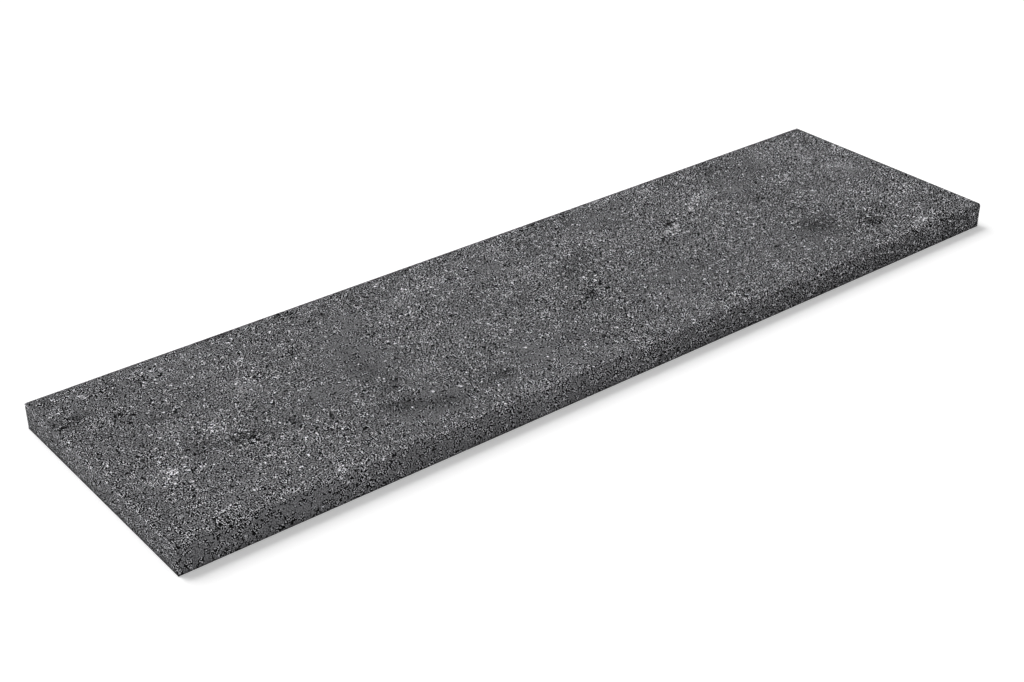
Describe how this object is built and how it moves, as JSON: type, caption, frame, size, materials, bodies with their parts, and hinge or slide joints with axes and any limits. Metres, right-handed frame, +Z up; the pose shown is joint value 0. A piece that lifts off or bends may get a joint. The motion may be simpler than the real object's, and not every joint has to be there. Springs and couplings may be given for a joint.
{
  "type": "stair tread tile",
  "caption": "Thick solid ceramic tread tile for a step, a long flat slab with a rounded front nosing, a granular walking face and a shallow keyed back.",
  "frame": {"origin": "middle of the bed, the underside that the mortar holds", "axes": "+X along the step to the right as seen from the nosing, +Y back towards the riser behind, +Z up through the walking face"},
  "size_m": [1.2, 0.33, 0.033],
  "materials": {
    "porcelain": "matt unglazed porcelain, dark grey, with fine dark and pale grains and small pits"
  },
  "bodies": {
    "root": {"step_tile": "porcelain"}
  },
  "joints": []
}
